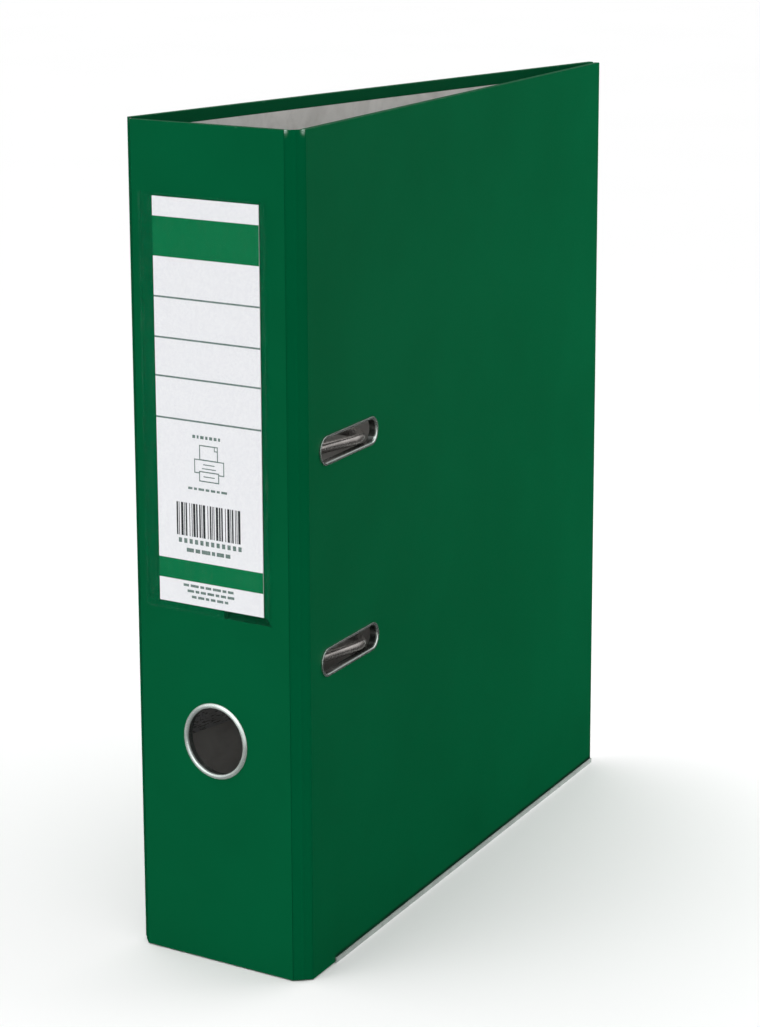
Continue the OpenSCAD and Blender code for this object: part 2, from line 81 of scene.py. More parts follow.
class Look:
    """One procedural material: a Principled shader and the nodes that drive it."""

    def __init__(self, name, **sockets):
        self.mat = bpy.data.materials.new(name)
        self.mat.use_nodes = True
        self.tree = self.mat.node_tree
        self.shader = self.tree.nodes["Principled BSDF"]
        self.place = self.add("ShaderNodeTexCoord").outputs["Object"]
        for key, value in sockets.items():
            self.shader.inputs[key.replace("_", " ")].default_value = value

    def add(self, kind, inputs=None, **settings):
        """A new node with its settings; inputs are values or other nodes' outputs."""
        node = self.tree.nodes.new(kind)
        for key, value in settings.items():
            setattr(node, key, value)
        for key, value in (inputs or {}).items():
            self.put(node.inputs[key], value)
        return node

    def put(self, socket, value):
        if isinstance(value, bpy.types.NodeSocket):
            self.tree.links.new(value, socket)
        else:
            socket.default_value = value

    def set(self, key, value):
        """One of the shader's own inputs."""
        self.put(self.shader.inputs[key], value)

    def math(self, operation, a, b=0.0, clamp=False):
        return self.add("ShaderNodeMath", {0: a, 1: b}, operation=operation, use_clamp=clamp).outputs[0]

    def noise(self, scale, detail=2.0, rough=0.5, stretch=None, distortion=0.0):
        place = self.place
        if stretch:
            place = self.add("ShaderNodeMapping", {"Vector": place, "Scale": stretch}).outputs[0]
        made = self.add("ShaderNodeTexNoise", {"Vector": place, "Scale": scale, "Detail": detail,
                                               "Roughness": rough, "Distortion": distortion})
        return made.outputs[0]

    def ramp(self, value, low, high, out_low=0.0, out_high=1.0, smooth=True):
        """value between low and high brought to between out_low and out_high, and held there beyond."""
        made = self.add("ShaderNodeMapRange", {"Value": value, "From Min": low, "From Max": high,
                                               "To Min": out_low, "To Max": out_high})
        made.interpolation_type = "SMOOTHSTEP" if smooth else "LINEAR"
        return made.outputs[0]

    def mix(self, factor, a, b):
        """Colour a where the factor is 0 and b where it is 1."""
        made = self.add("ShaderNodeMix", data_type="RGBA")
        self.put(made.inputs[0], factor)
        for socket, value in ((made.inputs[6], a), (made.inputs[7], b)):
            self.put(socket, value if isinstance(value, bpy.types.NodeSocket) else (*value, 1.0))
        return made.outputs[2]

    def bump(self, height, distance, strength=1.0, under=None):
        """Normals bent by a height of up to distance, over another bump where under is given."""
        inputs = {"Height": height, "Distance": distance, "Strength": strength}
        if under is not None:
            inputs["Normal"] = under
        return self.add("ShaderNodeBump", inputs).outputs[0]

    def along(self, direction):
        """How far each point lies along a direction, in metres."""
        made = self.add("ShaderNodeVectorMath", {0: self.place, 1: tuple(direction)}, operation="DOT_PRODUCT")
        return made.outputs["Value"]

    def near(self, planes, width):
        """1 on the given planes (a normal pointing inwards and a point), falling to 0 over width."""
        least = None
        for normal, point in planes:
            gap = self.math("SUBTRACT", self.along(normal), Vector(normal).dot(Vector(point)))
            gap = self.math("ABSOLUTE", gap)
            least = gap if least is None else self.math("MINIMUM", least, gap)
        return self.ramp(least, 0.0, width, 1.0, 0.0)


GREEN = (0.0, 0.081, 0.028)
GREEN_DEEP = (0.0, 0.074, 0.025)
GREEN_WORN = (0.10, 0.26, 0.17)
# painted shade: the dark line on the foil just above each rail
GREEN_RAIL_SHADE = (0.001, 0.010, 0.005)
GREEN_CHIPPED = (0.55, 0.68, 0.60)
FOIL_SHEEN = (0.02, 0.90, 0.50, 1.0)
WORN_WIDTH = 0.9 * MM                          # how far in from an edge the foil is rubbed
RAIL_SHADE_FROM, RAIL_SHADE_TO = 0.8 * MM, 1.8 * MM      # the painted shade line fades out this far above the rail

BOARD_DARK, BOARD_PALE, BOARD_SPECK = (0.30, 0.275, 0.24), (0.44, 0.41, 0.37), (0.16, 0.14, 0.12)
LINING_DARK, LINING_PALE, LINING_VEIN = (0.58, 0.57, 0.55), (0.70, 0.69, 0.67), (0.48, 0.47, 0.45)
FILM_CLEAR, FILM_SCUFF = (0.02, 0.12, 0.08), (0.25, 0.40, 0.34)
NYLON_DARK, NYLON_PALE = (0.70, 0.69, 0.64), (0.80, 0.79, 0.75)
FLOOR_DARK, FLOOR_PALE = (0.90, 0.90, 0.90), (0.92, 0.92, 0.92)


def foil(name, planes, wear_attribute=False, rail_shade_at=None):
    """Smooth plastic foil glued over board: faint grain, slow waves and rubbed edges.

    A rail's start along the cover and its height can be given; the foil just above the rail is then painted
    darker, a painted shade line.
    """
    look = Look(name, IOR=1.45)
    look.set("Specular IOR Level", 0.10)
    look.set("Specular Tint", FOIL_SHEEN)
    tone = look.noise(14.0, 3.0, 0.55)
    colour = look.mix(look.ramp(tone, 0.30, 0.70), GREEN_DEEP, GREEN)
    rub = look.ramp(look.noise(420.0, 4.0, 0.65), 0.56, 0.72)
    edge = look.near(planes, WORN_WIDTH)
    worn = look.math("MULTIPLY", look.math("MULTIPLY", rub, edge), 0.35)
    colour = look.mix(worn, colour, GREEN_WORN)
    # painted shade: a dark line painted on the foil just above the rail
    if rail_shade_at:
        start, top = rail_shade_at
        rail_shade_mask = look.ramp(look.noise(90.0, 3.0, 0.5), 0.25, 0.70, 0.60, 1.0)
        low = look.ramp(look.along((0, 0, 1)), top + RAIL_SHADE_FROM, top + RAIL_SHADE_TO, 1.0, 0.0)
        rail_shade_mask = look.math("MULTIPLY", rail_shade_mask, low)
        rail_shade_mask = look.math("MULTIPLY", rail_shade_mask, look.ramp(look.along((0, 1, 0)), start, start + 1.0 * MM))
        colour = look.mix(rail_shade_mask, colour, GREEN_RAIL_SHADE)
    if wear_attribute:
        chipped = look.add("ShaderNodeAttribute", attribute_name="chip").outputs["Fac"]
        broken = look.ramp(look.noise(900.0, 3.0, 0.6), 0.38, 0.60, 0.35, 1.0)
        colour = look.mix(look.math("MULTIPLY", chipped, broken), colour, GREEN_CHIPPED)
    look.set("Base Color", colour)
    grain = look.noise(2600.0, 2.0, 0.6)
    look.set("Roughness", look.ramp(grain, 0.2, 0.8, 0.30, 0.42))
    waves = look.bump(look.noise(16.0, 2.0, 0.4), 0.9 * MM, 0.35)
    look.set("Normal", look.bump(grain, 0.03 * MM, 0.5, waves))
    return look.mat


def paper_board(name):
    """Grey pulp board: short fibres and specks."""
    look = Look(name, Roughness=0.9)
    look.set("Specular IOR Level", 0.15)
    fibre = look.noise(700.0, 5.0, 0.7, stretch=(1.0, 1.0, 0.35))
    speck = look.ramp(look.noise(2100.0, 2.0, 0.5), 0.62, 0.72)
    colour = look.mix(look.ramp(fibre, 0.3, 0.7), BOARD_DARK, BOARD_PALE)
    look.set("Base Color", look.mix(look.math("MULTIPLY", speck, 0.5), colour, BOARD_SPECK))
    look.set("Normal", look.bump(fibre, 0.12 * MM, 0.7))
    return look.mat


def lining_paper(name):
    """Grey lining paper printed with a soft cloud pattern."""
    look = Look(name, Roughness=0.72)
    look.set("Specular IOR Level", 0.25)
    cloud = look.noise(42.0, 5.0, 0.62, distortion=0.6)
    vein = look.noise(130.0, 4.0, 0.6)
    colour = look.mix(look.ramp(cloud, 0.36, 0.66), LINING_DARK, LINING_PALE)
    colour = look.mix(look.ramp(vein, 0.52, 0.70, 0.0, 0.35), colour, LINING_VEIN)
    look.set("Base Color", colour)
    fibre = look.noise(1500.0, 3.0, 0.6)
    look.set("Normal", look.bump(fibre, 0.04 * MM, 0.5))
    return look.mat


def metal(name, colour, rough, brush=(1.0, 1.0, 1.0), spots=0.0, plating=1.0, barrel=None):
    """Plated or drawn metal: fine drawn lines, a cloudy tone, uneven roughness and a few dull spots.

    barrel is the way into an eyelet and a point of its face; further in, the metal is painted darker, a
    painted shade inside the hole.
    """
    look = Look(name, Metallic=plating)
    dull, spotted, inner_shade_colour = (tuple(share * c for c in colour) for share in (0.82, 0.5, 0.10))
    cloud = look.noise(160.0, 3.0, 0.6)
    base = look.mix(look.ramp(cloud, 0.35, 0.70), dull, colour)
    if spots:
        spot = look.ramp(look.noise(650.0, 3.0, 0.55), 0.66, 0.74, 0.0, spots)
        base = look.mix(spot, base, spotted)
    # painted shade: the metal's colour darkens with depth into an eyelet or the finger ring
    if barrel:
        inward, face = barrel
        depth = look.math("SUBTRACT", look.along(inward), Vector(inward).dot(Vector(face)))
        base = look.mix(look.ramp(depth, 0.0, 0.5 * MM), base, inner_shade_colour)
    look.set("Base Color", base)
    lines = look.noise(1800.0, 3.0, 0.6, stretch=brush)
    look.set("Roughness", look.ramp(lines, 0.25, 0.75, 0.75 * rough, 1.3 * rough))
    look.set("Normal", look.bump(lines, 0.012 * MM, 0.5))
    return look.mat


def clear_film(name):
    """Thin clear plastic: mostly see-through, glossy, slightly rippled and scuffed."""
    look = Look(name, IOR=1.5)
    look.set("Alpha", 0.020)
    look.set("Specular IOR Level", 0.6)
    scuff = look.ramp(look.noise(900.0, 4.0, 0.6, stretch=(1.0, 1.0, 0.12)), 0.45, 0.75)
    look.set("Base Color", look.mix(scuff, FILM_CLEAR, FILM_SCUFF))
    look.set("Roughness", look.ramp(scuff, 0.0, 1.0, 0.08, 0.24))
    look.set("Normal", look.bump(look.noise(60.0, 2.0, 0.5), 0.25 * MM, 0.4))
    return look.mat


def print_paper(name, low, high):
    """Smooth label paper, or ink on it, with a faint paper grain showing through."""
    look = Look(name, Roughness=0.55)
    look.set("Specular IOR Level", 0.03)
    grain = look.noise(1300.0, 4.0, 0.6)
    look.set("Base Color", look.mix(look.ramp(grain, 0.3, 0.7), low, high))
    look.set("Normal", look.bump(grain, 0.02 * MM, 0.4))
    return look.mat


def nylon(name):
    """Moulded nylon: slightly translucent, with a cloudy off-white tone."""
    look = Look(name, Roughness=0.38)
    look.set("Subsurface Weight", 0.15)
    tone = look.noise(260.0, 3.0, 0.5)
    look.set("Base Color", look.mix(look.ramp(tone, 0.3, 0.7), NYLON_DARK, NYLON_PALE))
    look.set("Normal", look.bump(look.noise(1500.0, 2.0, 0.5), 0.02 * MM, 0.4))
    return look.mat


def cover_planes(lean, side):
    """The outer edges of a cover: bottom, top and fore edge. side is 1 in front and -1 behind."""
    along = Vector((-side * math.sin(lean), math.cos(lean), 0))
    root = Vector((side * HALF_W, FACE_Y + STRIP, FILE_Z0))
    return [((0, 0, 1), root), ((0, 0, -1), (0, 0, FILE_Z1)), (tuple(-along), root + along * COVER_L)]


SPINE_PLANES = [((0, 0, 1), (0, 0, FILE_Z0)), ((0, 0, -1), (0, 0, FILE_Z1))]
FOIL_SPINE = foil("foil_spine", SPINE_PLANES)
# where each rail starts and how high it stands, for the painted shade line above it
RAIL_SHADE_PLACE = (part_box("front_edge_rail")[0].y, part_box("front_edge_rail")[1].z)
FOIL_FRONT = foil("foil_front", cover_planes(FRONT_LEAN, 1), rail_shade_at=RAIL_SHADE_PLACE)
FOIL_BACK = foil("foil_back", cover_planes(BACK_LEAN, -1), rail_shade_at=RAIL_SHADE_PLACE)
FOIL_HINGE = foil("foil_hinge", SPINE_PLANES, wear_attribute=True)
BOARD = paper_board("greyboard")
LINING = lining_paper("lining")
# nickel tinted green: the green is a painted reflection of the green foil round the eyelets and the finger
# ring
NICKEL_AND_FOIL_REFLECTION = (0.72, 0.80, 0.76)
INWARD = (-math.cos(FRONT_LEAN), -math.sin(FRONT_LEAN), 0.0)      # from the front cover's face into the file
EYELET = metal("slot_nickel", NICKEL_AND_FOIL_REFLECTION, 0.22, spots=0.2, plating=0.88,
               barrel=(INWARD, (HALF_W, FACE_Y + STRIP, 0.0)))
RING = metal("ring_nickel", NICKEL_AND_FOIL_REFLECTION, 0.22, spots=0.2, plating=0.60,
             barrel=((0, 1, 0), (0, FACE_Y, 0)))
# the rail's grey is tinted green, a painted reflection of the green foil above it
RAIL = metal("rail_nickel", (0.46, 0.51, 0.48), 0.34, brush=(0.1, 0.1, 1.0), spots=0.2, plating=0.20)
ZINC = metal("zinc", (0.66, 0.67, 0.69), 0.30, brush=(1.0, 0.12, 1.0), spots=0.45, plating=0.65)
WIRE = metal("wire", (0.48, 0.45, 0.43), 0.24, brush=(1.0, 1.0, 0.1), plating=0.85)
SPRING = metal("spring", (0.42, 0.42, 0.44), 0.28)
FILM = clear_film("film")
PAPER = print_paper("label_white", (0.68, 0.68, 0.71), (0.73, 0.73, 0.75))
INK_GREEN = print_paper("label_green", (0.001, 0.128, 0.043), (0.003, 0.145, 0.052))
INK_GREY = print_paper("label_grey", (0.10, 0.15, 0.135), (0.17, 0.22, 0.205))
INK_BLACK = print_paper("label_black", (0.020, 0.022, 0.024), (0.040, 0.042, 0.044))
NYLON = nylon("roller_nylon")

# ---- CAD nodes that stay ----

FINISH = {      # each node's material and the width of its bevel in millimetres
    "back_board": (BOARD, 0.1), "spine_board": (BOARD, 0.1), "front_board": (BOARD, 0.1),
    "back_cover_foil": (FOIL_BACK, 0.35), "spine_foil": (FOIL_SPINE, 0.35),
    "front_cover_foil": (FOIL_FRONT, 0.35),
    "back_lining": (LINING, 0.0), "spine_lining": (LINING, 0.0), "front_lining": (LINING, 0.0),
    "back_edge_rail": (RAIL, 0.12), "front_edge_rail": (RAIL, 0.12),
    "finger_ring": (RING, 0.12), "slot_rim_upper": (EYELET, 0.12), "slot_rim_lower": (EYELET, 0.12),
    "base_plate": (ZINC, 0.15), "post_upper": (WIRE, 0.12), "post_lower": (WIRE, 0.12),
    "plate_rivets": (ZINC, 0.1), "lever_pin": (WIRE, 0.15), "arch_wire": (WIRE, 0.0),
    "lever_arm": (ZINC, 0.2), "roller_pin": (WIRE, 0.12), "roller": (NYLON, 0.15),
    "compressor_bar": (ZINC, 0.15), "catch_pin": (WIRE, 0.12), "compressor_catch": (ZINC, 0.2),
    "label_pocket": (FILM, 0.06),
}


def finish_node(name, material, bevel):
    """Material, welded points, rounded edges and even shading for a CAD node that stays."""
    node = frame["nodes"][name]
    node.data.materials.clear()
    node.data.materials.append(material)
    weld = node.modifiers.new("weld", "WELD")
    weld.merge_threshold = 0.002 * MM
    if bevel:
        made = node.modifiers.new("bevel", "BEVEL")
        made.width = bevel * MM
        made.segments = 3
        made.limit_method = "ANGLE"
        made.angle_limit = math.radians(28)
        made.use_clamp_overlap = True
    node.modifiers.new("normals", "WEIGHTED_NORMAL").keep_sharp = False


for node_name, (node_look, node_bevel) in FINISH.items():
    finish_node(node_name, node_look, node_bevel)

# ---- mesh helpers ----


def piece(name, points, faces, materials, sharp=35.0):
    """A mesh object from its points and its faces, each a pair of corner numbers and material number."""
    mesh = bpy.data.meshes.new(name)
    mesh.from_pydata([tuple(p) for p in points], [], [f[0] for f in faces])
    for material in materials:
        mesh.materials.append(material)
    for polygon, face in zip(mesh.polygons, faces):
        polygon.material_index = face[1]
    mesh.update()
    mesh.shade_smooth()
    mesh.set_sharp_from_angle(angle=math.radians(sharp))
    made = bpy.data.objects.new(name, mesh)
    bpy.context.scene.collection.objects.link(made)
    return made


def tube(name, path, radius, material, sides=14):
    """A round wire along the points of path, closed flat at both ends."""
    points, faces = [], []
    count = len(path)
    side = None
    for i, p in enumerate(path):
        ahead = (path[min(i + 1, count - 1)] - path[max(i - 1, 0)]).normalized()
        if side is None:
            side = ahead.orthogonal().normalized()
        side = (side - ahead * side.dot(ahead)).normalized()
        up = ahead.cross(side)
        for k in range(sides):
            a = 2 * math.pi * k / sides
            points.append(p + (side * math.cos(a) + up * math.sin(a)) * radius)
    for i in range(count - 1):
        for k in range(sides):
            n = (k + 1) % sides
            faces.append(((i * sides + k, i * sides + n, (i + 1) * sides + n, (i + 1) * sides + k), 0))
    faces.append((tuple(reversed(range(sides))), 0))
    faces.append((tuple((count - 1) * sides + k for k in range(sides)), 0))
    return piece(name, points, faces, [material])


# ---- hinge foils ----

STRIP_EDGE = HALF_W - STRIP                    # where the spine ends and the strip begins, across the file
SECTION_STEPS = 22                             # parts of the strip's width
STRIP_THICK = 0.62 * MM                        # foil and lining together
LAP, SUNK = 0.12 * MM, 0.09 * MM               # how far the ends run in under the boards' foil, and how deep
CROWN = 0.12 * MM                              # the whole strip's bow outwards
CREASE_AT = 0.52                               # the crease's share of the way from spine to cover
RIDGE_RISE, RIDGE_REACH = 0.14 * MM, 0.45 * MM       # the crease outside
GROOVE_RISE, GROOVE_REACH = 0.10 * MM, 0.40 * MM     # the crease inside
END_ROWS = [0.0, 0.15, 0.45, 0.9, 1.5, 2.2, 3.0, 3.8, TURN_IN / MM, 5.4, 8.0, 12.0, 18.0, 26.0, 36.0]
MIDDLE_PARTS = 20                              # parts between the rows of the two ends
END_PULL = 0.14                                # how far the last row's two faces draw together
CHIP_PLACES = ((0.06, 0.08), (0.90, 0.09))     # worn spots at the top: share of the strip's width, and reach
CHIP_DEPTH, CHIP_END = 1.25, 6                 # how far down they fade and where they end, in millimetres


def crease(t, length, rise, reach):
    """The crease's height at the share t of a strip's length."""
    return rise * math.exp(-((t - CREASE_AT) * length / reach) ** 2)


def hinge_section(side):
    """Outline of the hinge foil seen from above: out along its outer face, back along its inner one."""
    out = Vector((1, -1)).normalized()
    start = Vector((STRIP_EDGE - LAP, SUNK))
    end = Vector((HALF_W - SUNK, STRIP + LAP))
    chord = end - start
    length = chord.length
    outer, inner = [], []
    for i in range(SECTION_STEPS + 1):
        t = i / SECTION_STEPS
        arch = CROWN * math.sin(math.pi * t)
        ridge = crease(t, length, RIDGE_RISE, RIDGE_REACH)
        outer.append(start + chord * t + out * (arch + ridge))
        groove = crease(t, length, GROOVE_RISE, GROOVE_REACH)
        inner.append(start + chord * t + out * (arch + groove - STRIP_THICK))
    return [(side * p.x, FACE_Y + p.y) for p in outer + inner[::-1]]


def chip_share(side, x, z):
    """How worn the foil is at a point: two small spots at the top, weaker on the back hinge."""
    t = (abs(x) - STRIP_EDGE) / STRIP
    drop = (FILE_Z1 - z) / MM
    spot = max(math.exp(-((t - place) / reach) ** 2) for place, reach in CHIP_PLACES)
    value = spot * math.exp(-(drop / CHIP_DEPTH) ** 2) if drop < CHIP_END else 0.0
    return min(1.0, 1.1 * value) * (1.0 if side > 0 else 0.5)


def hinge_foil(name, side, replaced):
    """The foil strip between the spine and a cover. side is 1 in front."""
    ring = hinge_section(side)
    steps = SECTION_STEPS
    height = (FILE_Z1 - FILE_Z0) / MM
    last_row = END_ROWS[-1]
    middle = [last_row + (height - 2 * last_row) * i / MIDDLE_PARTS for i in range(1, MIDDLE_PARTS)]
    levels = END_ROWS + middle + [height - r for r in reversed(END_ROWS)]
    points, faces = [], []
    count = len(ring)
    for index, level in enumerate(levels):
        pull = END_PULL if index in (0, len(levels) - 1) else 0.0
        for i, (x, y) in enumerate(ring):
            mirror = ring[count - 1 - i]
            points.append((x + (mirror[0] - x) * pull, y + (mirror[1] - y) * pull, FILE_Z0 + level * MM))
    for index in range(len(levels) - 1):
        inside = levels[index] >= TURN_IN / MM - 0.01 and levels[index + 1] <= height - TURN_IN / MM + 0.01
        for i in range(count):
            n = (i + 1) % count
            quad = (index * count + i, index * count + n, (index + 1) * count + n, (index + 1) * count + i)
            lined = inside and steps < i < count - 1
            faces.append((quad if side > 0 else quad[::-1], 1 if lined else 0))
    last = (len(levels) - 1) * count
    for i in range(steps):
        cap = (i, count - 1 - i, count - 2 - i, i + 1)
        faces.append((cap if side > 0 else cap[::-1], 0))
        cap = tuple(last + k for k in (i, i + 1, count - 2 - i, count - 1 - i))
        faces.append((cap if side > 0 else cap[::-1], 0))
    made = piece(name, points, faces, [FOIL_HINGE, LINING], sharp=50)
    chip = made.data.attributes.new("chip", "FLOAT", "POINT")
    chip.data.foreach_set("value", [chip_share(side, x, z) for x, y, z in points])
    if side > 0:
        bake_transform(made)
    else:
        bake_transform(made)
    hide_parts(replaced)


hinge_foil("front_hinge_foil", 1, "front_hinge_strip")
hinge_foil("back_hinge_foil", -1, "back_hinge_strip")

# ---- printed label ----

CARD_LO, CARD_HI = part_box("label_card")
CARD_HALF, CARD_TALL = (CARD_HI.x - CARD_LO.x) / 2 / MM, (CARD_HI.z - CARD_LO.z) / MM
WHITE, PRINT_GREEN, PRINT_GREY, PRINT_BLACK = range(4)

# the print, in millimetres: across from the card's middle, up from its foot
GREEN_BANDS = ((129.6, 144.3), (9.0, 16.8))
RULES, RULE_HALF = (114.8, 99.8, 85.4, 69.9), 0.34
# a short code, two captions and three footer lines: height, stroke height, half width, stroke lengths
STROKE_ROWS = ((64.2, 1.2, 7.4, (1.3, 0.9, 1.6, 1.1, 1.4)), (44.6, 0.9, 9.8, (2.0, 1.4, 2.6, 1.7)),
               (20.9, 1.5, 11.0, (3.4, 2.2, 4.0, 1.5)), (7.3, 1.0, 12.8, (2.6, 3.8, 1.8)),
               (5.2, 1.0, 11.0, (3.1, 1.7, 2.4)), (3.1, 1.0, 9.0, (2.2, 2.9, 1.6)))
STROKE_GAP = 0.7
BARS_HALF, BARS_Z = 15.4, (26.2, 38.8)
BAR_WIDTHS = (0.7, 0.35, 1.05, 0.35, 0.7, 0.35, 0.35, 1.05, 0.7)
BAR_GAPS = (0.35, 0.7, 0.35, 0.35, 1.05, 0.7, 0.35)
MARKS, MARK_PITCH, FIRST_MARK, MARKS_Z = 12, 2.5, (-14.6, -13.1), (23.4, 25.2)      # under the bars
ICON_LINE = 0.45
ICON_BOXES = ((-4.4, 4.2, 55.6, 61.4), (-6.8, 7.0, 50.6, 56.0), (-4.6, 4.6, 47.6, 51.6))


def label_areas():
    """Printed rectangles (x0, x1, z0, z1, ink), later ones over earlier ones."""
    half = CARD_HALF
    areas = [(-half, half, z0, z1, PRINT_GREEN) for z0, z1 in GREEN_BANDS]
    areas += [(-half, half, z - RULE_HALF, z + RULE_HALF, PRINT_GREY) for z in RULES]
    # plain strokes with no letters
    for z, tall, reach, lengths in STROKE_ROWS:
        x, i = -reach, 0
        while x + lengths[i % len(lengths)] <= reach:
            areas.append((x, x + lengths[i % len(lengths)], z - tall / 2, z + tall / 2, PRINT_GREY))
            x += lengths[i % len(lengths)] + STROKE_GAP
            i += 1
    # a plain bar pattern that codes nothing
    x, i = -BARS_HALF, 0
    while x + BAR_WIDTHS[i % len(BAR_WIDTHS)] < BARS_HALF:
        areas.append((x, x + BAR_WIDTHS[i % len(BAR_WIDTHS)], *BARS_Z, PRINT_BLACK))
        x += BAR_WIDTHS[i % len(BAR_WIDTHS)] + BAR_GAPS[i % len(BAR_GAPS)]
        i += 1
    for i in range(MARKS):
        x0, x1 = (x + MARK_PITCH * i for x in FIRST_MARK)
        areas.append((x0, x1, *MARKS_Z, PRINT_GREY))
    # a sheet of paper coming out of a plain box
    line = ICON_LINE
    for x0, x1, z0, z1 in ICON_BOXES:
        areas += [(x0 + line, x1 - line, z0 + line, z1 - line, WHITE), (x0, x1, z0, z0 + line, PRINT_GREY),
                  (x0, x1, z1 - line, z1, PRINT_GREY), (x0, x0 + line, z0, z1, PRINT_GREY),
                  (x1 - line, x1, z0, z1, PRINT_GREY)]
    for i, long in enumerate((5.2, 6.4)):
        areas.append((-long / 2, long / 2, 53.9 - 1.5 * i, 54.3 - 1.5 * i, PRINT_GREY))
    areas += [(-2.6, 2.6, 49.4, 49.8, PRINT_GREY), (2.6, 4.2, 59.4, 59.8, PRINT_GREY),
              (2.4, 2.8, 59.4, 61.0, PRINT_GREY)]
    return areas


def label_print():
    """The card as one closed mesh whose front is divided along the edges of its printed areas."""
    areas = label_areas()
    middle = (CARD_LO.x + CARD_HI.x) / 2
    xs = sorted({-CARD_HALF, CARD_HALF} | {round(x, 3) for a in areas for x in a[:2]})
    zs = sorted({0.0, CARD_TALL} | {round(z, 3) for a in areas for z in a[2:4]})
    points, faces = [], []
    for z in zs:
        for x in xs:
            points.append((middle + x * MM, CARD_LO.y, CARD_LO.z + z * MM))
    wide = len(xs)
    for r in range(len(zs) - 1):
        for c in range(wide - 1):
            x, z = (xs[c] + xs[c + 1]) / 2, (zs[r] + zs[r + 1]) / 2
            ink = WHITE
            for x0, x1, z0, z1, colour in areas:
                if x0 < x < x1 and z0 < z < z1:
                    ink = colour
            faces.append(((r * wide + c, r * wide + c + 1, (r + 1) * wide + c + 1, (r + 1) * wide + c), ink))
    rim = list(range(wide)) + [r * wide + wide - 1 for r in range(1, len(zs))]
    rim += [(len(zs) - 1) * wide + c for c in range(wide - 2, -1, -1)]
    rim += [r * wide for r in range(len(zs) - 2, 0, -1)]
    base = len(points)
    for k in rim:
        points.append((points[k][0], CARD_HI.y, points[k][2]))
    for i in range(len(rim)):
        n = (i + 1) % len(rim)
        faces.append(((rim[n], rim[i], base + i, base + n), WHITE))
    faces.append((tuple(base + i for i in reversed(range(len(rim)))), WHITE))
    made = piece("label_print", points, faces, [PAPER, INK_GREEN, INK_GREY, INK_BLACK])
    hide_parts("label_card")
    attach(made, "label")


label_print()

# ---- welded edges of the label pocket ----

FILM_LO, FILM_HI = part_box("label_pocket")


def quarter(x, z, radius, first):
    """Five points on the quarter turn round (x, z) that starts at the angle first, its ends left out."""
    turns = [first + math.pi / 2 * i / 6 for i in range(1, 6)]
    return [Vector((x + radius * math.cos(a), z + radius * math.sin(a))) for a in turns]


def pocket_weld():
    """A raised dotted weld line down both sides and along the foot of the pocket."""
    inset, top_gap, corner = 0.8 * MM, 0.6 * MM, 1.2 * MM
    half_w, rise, step, sunk = 0.42 * MM, 0.10 * MM, 0.9 * MM, 0.02 * MM
    x0, x1, z0, z1 = FILM_LO.x + inset, FILM_HI.x - inset, FILM_LO.z + inset, FILM_HI.z - top_gap
    route = [Vector((x0, z1)), Vector((x0, z0 + corner))]
    route += quarter(x0 + corner, z0 + corner, corner, math.pi)
    route += [Vector((x0 + corner, z0)), Vector((x1 - corner, z0))]
    route += quarter(x1 - corner, z0 + corner, corner, -math.pi / 2)
    route += [Vector((x1, z0 + corner)), Vector((x1, z1))]
    path = [route[0]]
    for a, b in zip(route, route[1:]):
        parts = max(1, round((b - a).length / (step / 2)))
        path += [a.lerp(b, i / parts) for i in range(1, parts + 1)]
    profile = [(-1.0, 0.0), (-0.7, 0.6), (-0.25, 1.0), (0.25, 1.0), (0.7, 0.6), (1.0, 0.0)]
    points, faces = [], []
    wide = len(profile) + 1
    for i, p in enumerate(path):
        ahead = (path[min(i + 1, len(path) - 1)] - path[max(i - 1, 0)]).normalized()
        side = Vector((-ahead.y, ahead.x))
        high = rise * (1.0 if i % 2 else 0.55)      # every other row is lower, which makes the dots
        for u, v in profile:
            q = p + side * u * half_w
            points.append((q.x, FILM_LO.y - v * high + sunk, q.y))
        points.append((p.x, FILM_LO.y + 0.05 * MM, p.y))
    for i in range(len(path) - 1):
        for k in range(wide):
            n = (k + 1) % wide
            faces.append(((i * wide + k, (i + 1) * wide + k, (i + 1) * wide + n, i * wide + n), 0))
    faces.append((tuple(range(wide)), 0))
    faces.append((tuple((len(path) - 1) * wide + k for k in reversed(range(wide))), 0))
    made = piece("pocket_weld", points, faces, [FILM])
    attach(made, "spine")


pocket_weld()

# ---- torsion spring of the arches ----


def arch_spring():
    """Close-wound spring round the arch wire, with a leg at each end along the back cover."""
    axis = Vector((*JOINTS["arch_pivot"]["pos_m"][:2], 0))
    into = on_back(1, 0, 0) - on_back(0, 0, 0)
    deep = on_back(0, 1, 0) - on_back(0, 0, 0)
    z0, z1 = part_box("arch_spring")[0].z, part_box("arch_spring")[1].z
    wire, mean = 0.45 * MM, 2.95 * MM
    turns, turn_points = 8, 28
    low, high = z0 + 0.55 * MM, z1 - 0.6 * MM
    path = []

    def at(a, b, z):
        return axis + into * a + deep * b + Vector((0, 0, z))

    for i in range(9, 0, -1):
        path.append(at(-mean, 0.9 * MM * i, low))
    for i in range(turns * turn_points + 1):
        a = math.pi + 2 * math.pi * i / turn_points
        rise = (high - low) * i / (turns * turn_points)
        path.append(at(mean * math.cos(a), mean * math.sin(a), low + rise))
    end = path[-1]
    for i in range(1, 7):
        path.append(end + deep * 0.8 * MM * i)
    made = tube("arch_coil_spring", path, wire, SPRING, sides=10)
    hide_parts("arch_spring")
    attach(made, "back_cover")


arch_spring()

# ---- floor, light and camera ----

SKY_LEAN = Vector((-0.62, -0.25, 0.75))                 # the sky's bright side
SKY_DIM, SKY_BRIGHT = -0.10, 1.25
SHINE_LEAN = Vector((0.15, -0.25, 0.95)).normalized()   # where polished metal finds its light
SHINE_FROM, SHINE_TO, SHINE_BRIGHT = -0.20, 0.60, 1.15
FLOOR_REACH = 9.0

